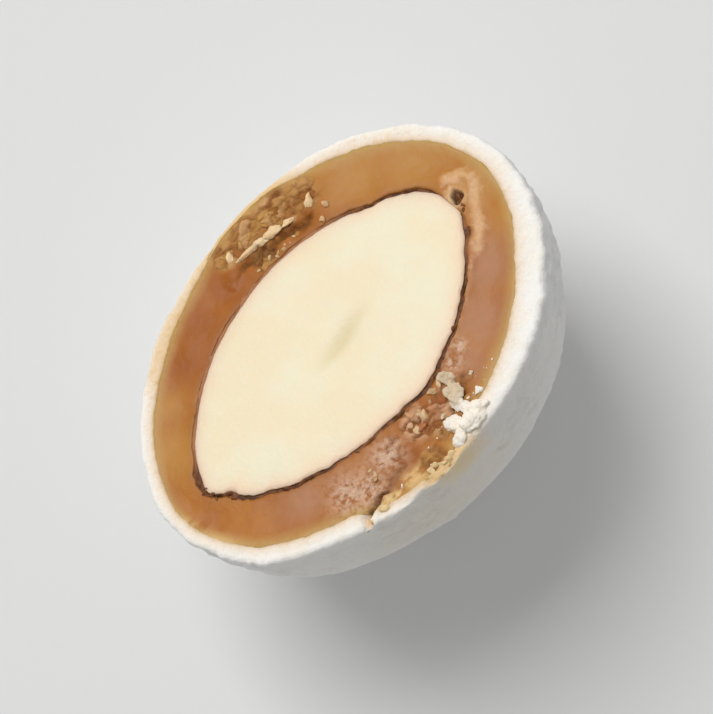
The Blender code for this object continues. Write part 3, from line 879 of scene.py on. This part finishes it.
def make_kernel():
    edge = blunted(almond(angles, 0.0, kernel_edge()), TIP_REACH)
    slit = CREASE_MIDDLE + np.array([CREASE_HALF_LENGTH, 0.0, 0.0]) * np.cos(angles)[:, None]
    shares = np.array(KERNEL_SHARES)[:, None]
    face = slit + (edge - slit) * shares[..., None]
    face[..., 1] += 0.2 * np.sin(0.8 * face[..., 0] + 0.6) * np.exp(-((shares / 0.3) ** 2))
    parting = 0.5 + 0.5 * np.cos(math.pi * np.clip(face[..., 0] / CREASE_HALF_LENGTH / 1.05, -1.0, 1.0))
    face[..., 2] = KERNEL_DOME * (1.0 - shares**4) - 0.09 * parting * np.exp(-((shares / 0.07) ** 2))
    face[..., 2] -= 0.07 * parting * np.exp(-((shares / 0.2) ** 2))
    face[..., 2] += 0.03 * hills(face, 2.2, 2, 70.0) - 0.07 * np.clip((shares - 0.96) / 0.04, 0.0, 1.0) ** 2
    side = almond(angles, np.radians(np.linspace(1.5, 80.0, KERNEL_SIDE_RINGS))[:, None], 0.0)
    rings = np.concatenate([face, side])
    gap = np.linalg.norm(face - edge, axis=-1)
    rim = np.ones(rings.shape[:2])
    rim[: len(face)] = np.exp(-((gap / 0.48) ** 1.5))
    crease = np.zeros(rings.shape[:2])
    crease[: len(face)] = np.exp(-((shares / 0.09) ** 2)) * parting
    masks = {"rim": rim, "crease": crease}
    return closed_cup("kernel_face", rings, None, almond(0.0, math.pi / 2.0, 0.0), kernel_material(), masks)


kernel_face = make_kernel()
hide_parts("kernel")
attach(kernel_face, "root")


# Crumbs
# What the knife broke off: shards of toffee on the coat's thin side, lumps of the sugar coat in its chip,
# scraps of almond skin along the kernel's edge, and a few grains of sugar by the chip. All of them stick.

SLIVERS = (
    # x, y, length, width, heading across the face: pale slivers of toffee, stood on edge by the knife
    (-0.5, -6.64, 1.9, 0.3, 168.0),
    (-0.95, -6.55, 1.0, 0.5, 150.0),
    (-1.75, -6.35, 1.5, 0.66, 167.0),
    (-2.65, -6.12, 1.2, 0.36, 162.0),
    (-3.96, -5.87, 0.8, 0.5, 236.0),
    (0.5, -7.15, 0.85, 0.48, 76.0),
    (-4.4, -5.15, 0.42, 0.36, 40.0),
    (-3.75, -4.75, 0.36, 0.3, 15.0),
)
SUGAR_LUMPS = (
    # x, y, length, width, heading: pieces of the sugar coat pushed on to the toffee
    (-1.8, 5.75, 1.2, 0.85, 127.0),
    (-1.5, 6.45, 1.25, 0.9, 118.0),
    (-1.15, 6.95, 0.9, 0.6, 110.0),
    (-0.45, 7.5, 1.15, 1.0, 60.0),
    (-1.15, 8.05, 1.4, 1.0, 160.0),
    (-0.1, 8.1, 0.9, 0.75, 20.0),
    (-1.75, 7.75, 1.0, 0.65, 160.0),
    (-1.4, 7.5, 1.0, 0.8, 100.0),
    (-2.3, 7.3, 0.55, 0.45, 0.0),
    (-2.7, 6.4, 0.34, 0.3, 30.0),
    (-0.35, 6.75, 0.4, 0.3, 80.0),
)
SHARD_PATCHES = (
    # middle x, y, spread x, y, how many, smallest, largest, how golden, how pale, how red
    # more than 0.95 golden is sugar soaked with toffee, and yellow
    (-2.0, -7.1, 1.5, 0.4, 8, 0.4, 0.95, 0.7, 0.15, 0.0),
    (-0.2, -7.4, 0.9, 0.25, 4, 0.35, 0.7, 0.8, 0.1, 0.0),
    (-1.2, -5.4, 1.2, 0.16, 12, 0.16, 0.34, 0.3, 0.7, 0.0),
    (1.1, 8.25, 0.55, 0.22, 9, 0.3, 0.75, 1.0, 0.3, 0.0),
    (1.8, 7.95, 0.4, 0.2, 5, 0.25, 0.55, 1.0, 0.5, 0.0),
    (4.6, 7.45, 0.7, 0.14, 8, 0.2, 0.5, 1.0, 0.4, 0.0),
    (0.5, 5.9, 0.9, 0.4, 14, 0.25, 0.6, 0.1, 0.7, 1.0),
    (-1.1, 5.5, 0.5, 0.2, 5, 0.2, 0.5, 0.0, 0.8, 0.4),
    (3.9, 5.9, 1.3, 0.35, 8, 0.15, 0.35, 0.2, 0.8, 0.4),
)
FLAKE_COUNT, GRAIN_COUNT = 34, 20
SHARD_SEED, LUMP_SEED, FLAKE_SEED, GRAIN_SEED = 31, 12, 5, 44
JOINING_CELL, LUMP_WEAR = 0.035, 5

SHARD_BROWN, SHARD_LIGHT = (0.34, 0.12, 0.025), (0.5, 0.21, 0.05)
SHARD_TINTS = {
    "red": (0.4, 0.125, 0.04),
    "golden": (0.62, 0.34, 0.1),
    "yellow": (0.87, 0.6, 0.3),
    "pale": (0.97, 0.67, 0.39),
}
# The lumps' hollow colours are painted shade.
LUMP_CREAM, LUMP_HOLLOW_SHADE = (0.98, 0.89, 0.77), (0.79, 0.65, 0.49)
SOILED_TAN, SOILED_HOLLOW_SHADE = (0.69, 0.55, 0.38), (0.38, 0.25, 0.12)
FLAKE_DARK, FLAKE_LIGHT = (0.08, 0.03, 0.01), (0.3, 0.12, 0.04)
GRAIN_TAN, GRAIN_CREAM = (0.85, 0.7, 0.5), (0.94, 0.87, 0.76)


def cut_surface():
    """Every layer's skin as one, to set crumbs down on."""
    points, faces = [], []
    for layer in (sugar_coat, toffee_layer, skin_line, kernel_face):
        first = len(points)
        points += [corner.co.copy() for corner in layer.data.vertices]
        faces += [[first + corner for corner in face.vertices] for face in layer.data.polygons]
    return BVHTree.FromPolygons(points, faces)


CUT_SURFACE = cut_surface()


def height_on_cut(x, y):
    """How high the food stands over the plane of the cut at a place on it, in millimetres."""
    above = FACE @ Vector((x * MM, y * MM, 3.0 * MM))
    found = CUT_SURFACE.ray_cast(above, FACE.to_3x3() @ Vector((0.0, 0.0, -1.0)))[0]
    return -0.5 if found is None else (FACE.inverted() @ found).z / MM


def ball(detail):
    shape = bmesh.new()
    bmesh.ops.create_icosphere(shape, subdivisions=detail, radius=1.0)
    points = np.array([corner.co for corner in shape.verts])
    faces = np.array([[corner.index for corner in face.verts] for face in shape.faces])
    shape.free()
    return points, faces


def broken(directions, draw, size, facets, grain, softness=16.0):
    """A crumb of a size in millimetres, broken to flat facets with blunt edges, and grainy all over."""
    sides = np.array([[draw.gauss(0.0, 1.0) for _ in range(3)] for _ in range(facets)])
    sides /= np.linalg.norm(sides, axis=1, keepdims=True)
    reach = np.array([draw.uniform(0.6, 1.0) for _ in range(facets)])
    facing = np.clip(directions @ sides.T, 0.0, None) / reach
    radius = 1.0 / np.maximum((facing**softness).sum(axis=1) ** (1.0 / softness), 0.85)
    crumb = directions * radius[:, None] * np.array(size) * 0.5
    return crumb * (1.0 + grain * hills(crumb, 0.28, 3, draw.uniform(0.0, 60.0)))[:, None]


def crumb_heap(name, crumbs, material, tints=()):
    """One piece of many crumbs. Each crumb is its points, its faces, and how much it has of each tint."""
    counts = [len(crumb[0]) for crumb in crumbs]
    starts = np.cumsum([0, *counts])
    points = np.concatenate([crumb[0] for crumb in crumbs])
    faces = np.concatenate([crumb[1] + start for crumb, start in zip(crumbs, starts)])
    masks = {tint: np.repeat([float(crumb[2][tint]) for crumb in crumbs], counts) for tint in tints}
    return piece_of(name, points, faces.tolist(), masks, material)


def grown_together(heap):
    """The heap with its crumbs joined to one skin where they touch, and their edges a little worn."""
    join = heap.modifiers.new("join", "REMESH")
    join.mode = "VOXEL"
    join.voxel_size = JOINING_CELL * MM
    wear = heap.modifiers.new("wear", "SMOOTH")
    wear.iterations = LUMP_WEAR
    bpy.context.view_layer.update()
    joined = bpy.data.meshes.new_from_object(heap.evaluated_get(bpy.context.evaluated_depsgraph_get()))
    heap.modifiers.clear()
    heap.data = joined
    return joined


def set_down(crumb, x, y, spin, sunk):
    """Turns a crumb and lays it on the cut, sunk in by a share of its height."""
    laid = crumb @ np.array(Euler(spin).to_matrix()).T
    height = laid[:, 2].max() - laid[:, 2].min()
    return laid + np.array([x, y, height_on_cut(x, y) - laid[:, 2].min() - sunk * height])


def shard_material():
    material, tree, surface = toffee_surface("toffee_shards")
    fine = noise_at(tree, place_in_mm(tree), 0.18, 3.0, 0.6)
    brown = masked(tree, ramp(tree, fine, 0.3, 0.7), SHARD_BROWN, SHARD_LIGHT)
    tints = [(painted(tree, name), colour) for name, colour in SHARD_TINTS.items()]
    dress(tree, surface, layered(tree, brown, tints), fine, 0.06)
    return material


def toffee_shards():
    draw = random.Random(SHARD_SEED)
    small, large = ball(3), ball(4)
    crumbs = []
    for x, y, length, width, heading in SLIVERS:
        sliver = broken(large[0], draw, (length, width, 0.45), 18, 0.24, 9.0)
        spin = (draw.uniform(-0.3, 0.3), draw.uniform(-0.06, 0.06), math.radians(heading))
        paleness = draw.uniform(0.8, 1.0) * (0.55 if length < 0.5 else 1.0)
        marks = {"pale": paleness, "golden": 0.0, "red": 0.0, "yellow": 0.0}
        crumbs.append((set_down(sliver, x, y, spin, 0.48), large[1], marks))
    for x, y, spread_x, spread_y, count, smallest, largest, golden, pale, red in SHARD_PATCHES:
        for _ in range(count):
            size = smallest + (largest - smallest) * draw.random() ** 1.8
            sizes = [size * draw.uniform(*sides) for sides in ((0.6, 1.2), (0.6, 1.2), (0.35, 0.8))]
            spin = [draw.uniform(-0.7, 0.7), draw.uniform(-0.7, 0.7), draw.uniform(0.0, 6.3)]
            place = (x + spread_x * draw.gauss(0.0, 0.5), y + spread_y * draw.gauss(0.0, 0.5))
            laid = set_down(broken(small[0], draw, sizes, 15, 0.2), *place, spin, draw.uniform(0.58, 0.76))
            marks = {"pale": pale * draw.random(), "golden": golden * draw.uniform(0.4, 1.0), "red": red}
            marks["yellow"] = draw.uniform(0.5, 1.0) if golden > 0.95 else 0.0
            crumbs.append((laid, small[1], marks))
    return crumb_heap("toffee_shards", crumbs, shard_material(), SHARD_TINTS)


def lump_material():
    material, tree, surface = sugar_surface("sugar_lumps")
    height, hollow_shade = powder_at(tree, 0.14, 0.4, 0.7)
    # Painted shade in the powder's hollows, on clean and soiled lumps alike.
    clean = masked(tree, hollow_shade, LUMP_CREAM, LUMP_HOLLOW_SHADE)
    soiled = masked(tree, hollow_shade, SOILED_TAN, SOILED_HOLLOW_SHADE)
    dress(tree, surface, masked(tree, painted(tree, "soiled"), clean, soiled), height, 0.1)
    return material


def sugar_lumps():
    draw = random.Random(LUMP_SEED)
    large = ball(5)
    crumbs = []
    for x, y, length, width, heading in SUGAR_LUMPS:
        lump = broken(large[0], draw, (length, width, 0.75 * width), 14, 0.2, 9.0)
        spin = (draw.uniform(-0.3, 0.3), draw.uniform(-0.2, 0.2), math.radians(heading))
        crumbs.append((set_down(lump, x, y, spin, 0.42), large[1], {}))
    heap = crumb_heap("sugar_lumps", crumbs, lump_material())
    mesh = grown_together(heap)
    points = np.empty(3 * len(mesh.vertices))
    mesh.vertices.foreach_get("co", points)
    points = points.reshape(-1, 3) / MM
    outward = np.array([corner.normal for corner in mesh.vertices])
    relief = 0.07 * hills(points, 0.4, 3, 6.0) + 0.02 * hills(points, 0.14, 2, 16.0)
    relief -= 0.05 * pits(points, 0.4, 0.5, 9.0)
    mesh.vertices.foreach_set("co", ((points + outward * relief[:, None]) * MM).ravel())
    on_cut = (points * MM - np.array(FACE.translation)) @ np.array(FACE.to_3x3()) / MM
    soiled = mesh.attributes.new("soiled", "FLOAT", "POINT")
    soiled.data.foreach_set("value", ramped(-on_cut[:, 1], -7.3, -6.6).astype(np.float32))
    mesh.shade_smooth()
    return heap


def flake_material():
    material, tree, surface = food_surface("skin_flakes", 0.6, 0.25)
    mottled = noise_at(tree, place_in_mm(tree), 0.2, 3.0, 0.6)
    dress(tree, surface, masked(tree, mottled, FLAKE_DARK, FLAKE_LIGHT), mottled, 0.03)
    return material


def skin_flakes():
    """Thin torn scraps along the kernel's far edge and about its two ends."""
    draw = random.Random(FLAKE_SEED)
    shape = ball(2)
    crumbs = []
    for _ in range(FLAKE_COUNT):
        choices = draw.uniform(20.0, 165.0), draw.gauss(4.0, 9.0), draw.gauss(176.0, 6.0)
        angle = math.radians(draw.choice(choices))
        place = almond(angle, 0.0, draw.uniform(0.12, 0.42))
        sizes = (draw.uniform(0.14, 0.42), draw.uniform(0.1, 0.2), 0.05)
        along = angle + math.pi / 2.0
        spin = (draw.uniform(-0.9, 0.9), draw.uniform(-0.5, 0.5), along + draw.uniform(-0.6, 0.6))
        flake = broken(shape[0], draw, sizes, 8, 0.1)
        laid = set_down(flake, float(place[0]), float(place[1]), spin, 0.3)
        crumbs.append((laid, shape[1], {}))
    return crumb_heap("skin_flakes", crumbs, flake_material())


def grain_material():
    material, tree, surface = food_surface("loose_sugar", 0.7)
    colour = masked(tree, noise_at(tree, place_in_mm(tree), 0.6), GRAIN_TAN, GRAIN_CREAM)
    tree.links.new(colour, surface.inputs["Base Color"])
    return material


def loose_sugar():
    """Fine grains on the toffee about the chip."""
    draw = random.Random(GRAIN_SEED)
    shape = ball(2)
    crumbs = []
    for _ in range(GRAIN_COUNT):
        angle = math.radians(HIGH_CHIP) + draw.gauss(0.3, 0.2)
        inward = coat_thickness(angle, 0.0) + abs(draw.gauss(0.0, 0.6))
        place = egg(angle, 0.0, float(inward))
        size = 0.06 + 0.12 * draw.random() ** 2
        sizes = [size * draw.uniform(0.6, 1.5) for _ in range(3)]
        spin = [draw.uniform(0.0, 6.3) for _ in range(3)]
        laid = set_down(broken(shape[0], draw, sizes, 6, 0.3), float(place[0]), float(place[1]), spin, 0.4)
        crumbs.append((laid, shape[1], {}))
    return crumb_heap("loose_sugar", crumbs, grain_material())


for crumb_piece, crumb_slot in (
    (toffee_shards(), "toffee"),
    (sugar_lumps(), "sugar_coat"),
    (skin_flakes(), "almond_skin"),
    (loose_sugar(), "sugar_coat"),
):
    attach(crumb_piece, "root")


# Floor, light and camera
# A plain pale tabletop, a large soft lamp low over the near side, and a long lens straight above.

FLOOR_SIZE, FLOOR_GREY = 2.0, (0.84, 0.84, 0.83, 1.0)
ROOM_LIGHT = 0.36
LAMP_PLACE, LAMP_SIZE, LAMP_POWER = (-0.08, -0.55, 0.65), 0.45, 5.0
CAMERA_ROLL = math.radians(130.4)
LENS = 250.0
SENSOR = 36.0
VIEW_WIDTH = 0.0325


def make_floor():
    bpy.ops.mesh.primitive_plane_add(size=FLOOR_SIZE)
    floor = bpy.context.object
    floor.name = "floor"
    material, _, surface = food_surface("pale_tabletop", 0.75)
    surface.inputs["Base Color"].default_value = FLOOR_GREY
    floor.data.materials.append(material)


def make_light():
    world = bpy.data.worlds.new("room")
    bpy.context.scene.world = world
    world.use_nodes = True
    room = world.node_tree.nodes["Background"].inputs
    room["Color"].default_value = (1.0, 1.0, 1.0, 1.0)
    room["Strength"].default_value = ROOM_LIGHT
    lamp = bpy.data.lights.new("window", "AREA")
    lamp.size = LAMP_SIZE
    lamp.energy = LAMP_POWER
    holder = bpy.data.objects.new("window", lamp)
    holder.location = LAMP_PLACE
    holder.rotation_euler = (-Vector(LAMP_PLACE)).to_track_quat("-Z", "Y").to_euler()
    bpy.context.scene.collection.objects.link(holder)


def make_camera():
    middle = (cad_low + cad_high) / 2.0
    camera = bpy.data.cameras.new("camera")
    camera.lens = LENS
    camera.sensor_width = SENSOR
    camera.clip_start = 0.01
    holder = bpy.data.objects.new("camera", camera)
    holder.location = (middle.x, middle.y, cad_high.z + VIEW_WIDTH * LENS / SENSOR)
    holder.rotation_euler = (0.0, 0.0, CAMERA_ROLL)
    bpy.context.scene.collection.objects.link(holder)
    bpy.context.scene.camera = holder


make_floor()
make_light()
make_camera()
bpy.context.scene.view_settings.view_transform = "Standard"
